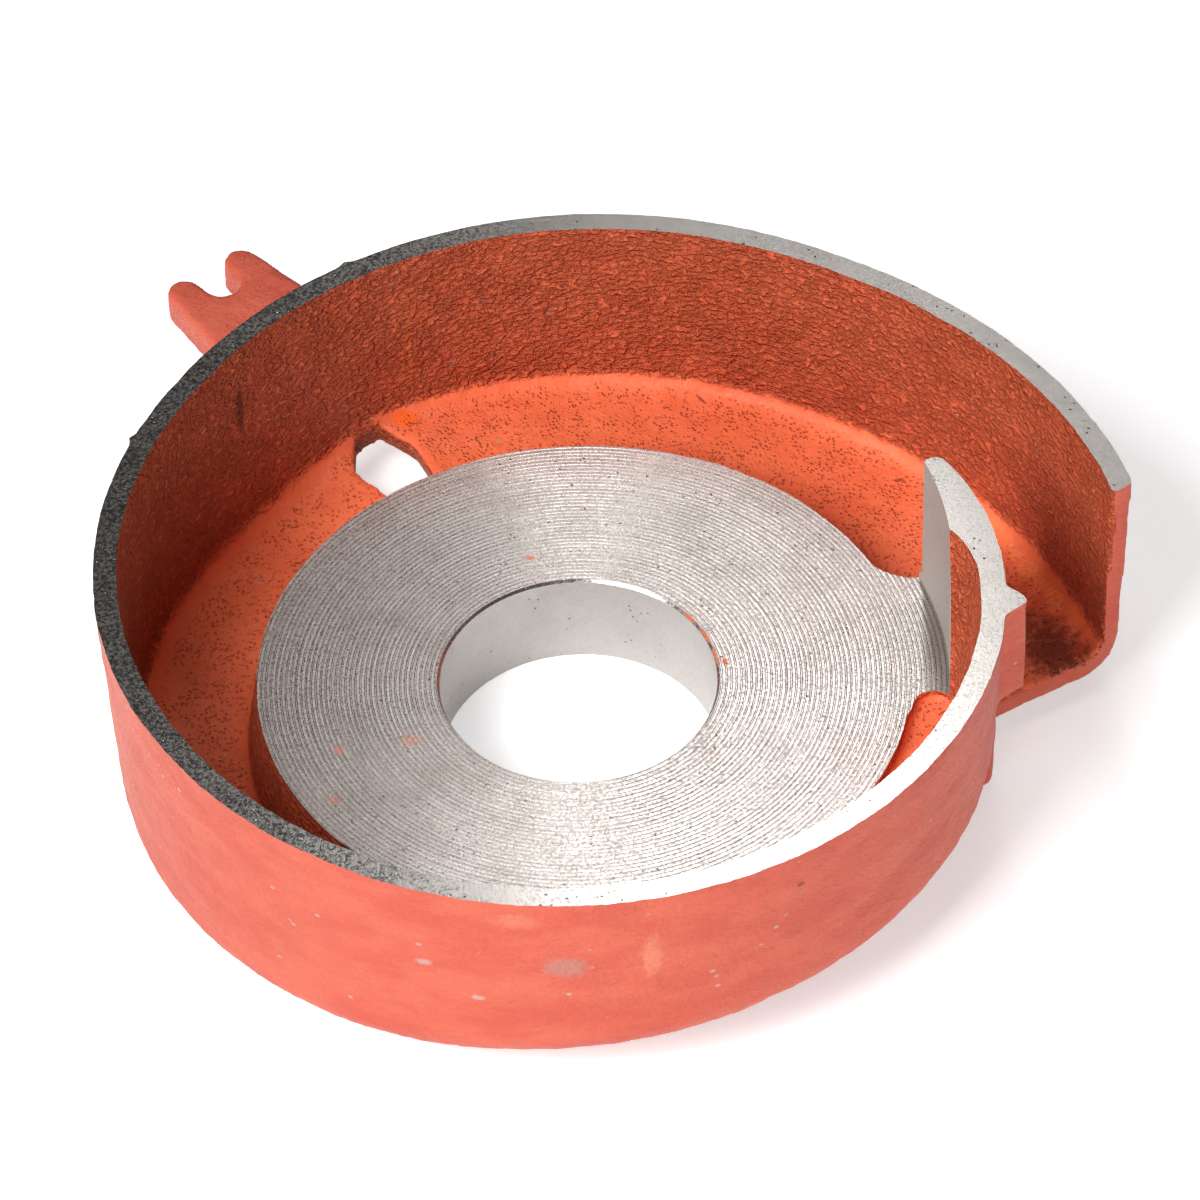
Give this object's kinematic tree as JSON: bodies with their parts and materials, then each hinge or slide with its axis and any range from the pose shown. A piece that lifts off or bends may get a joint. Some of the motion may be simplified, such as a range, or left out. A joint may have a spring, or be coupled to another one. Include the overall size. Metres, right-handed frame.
{
  "type": "volute pump casing",
  "caption": "Cast-iron spiral pump casing with an open top, a turned face round the suction bore, a cutwater tongue, an open discharge end and a fork lug.",
  "frame": {"origin": "on the suction bore's axis, in the plane of the suction boss's lower end", "axes": "+Z along the bore towards the open side, +X towards the discharge side, +Y towards the back wall of the spiral"},
  "size_m": [0.237, 0.2227, 0.064],
  "materials": {
    "volute_casing": "sand-cast iron in red primer, with the rim, the face, the tongue's inner side and the bore machined bare"
  },
  "bodies": {
    "root": {"volute_casing": "volute_casing"}
  },
  "joints": []
}
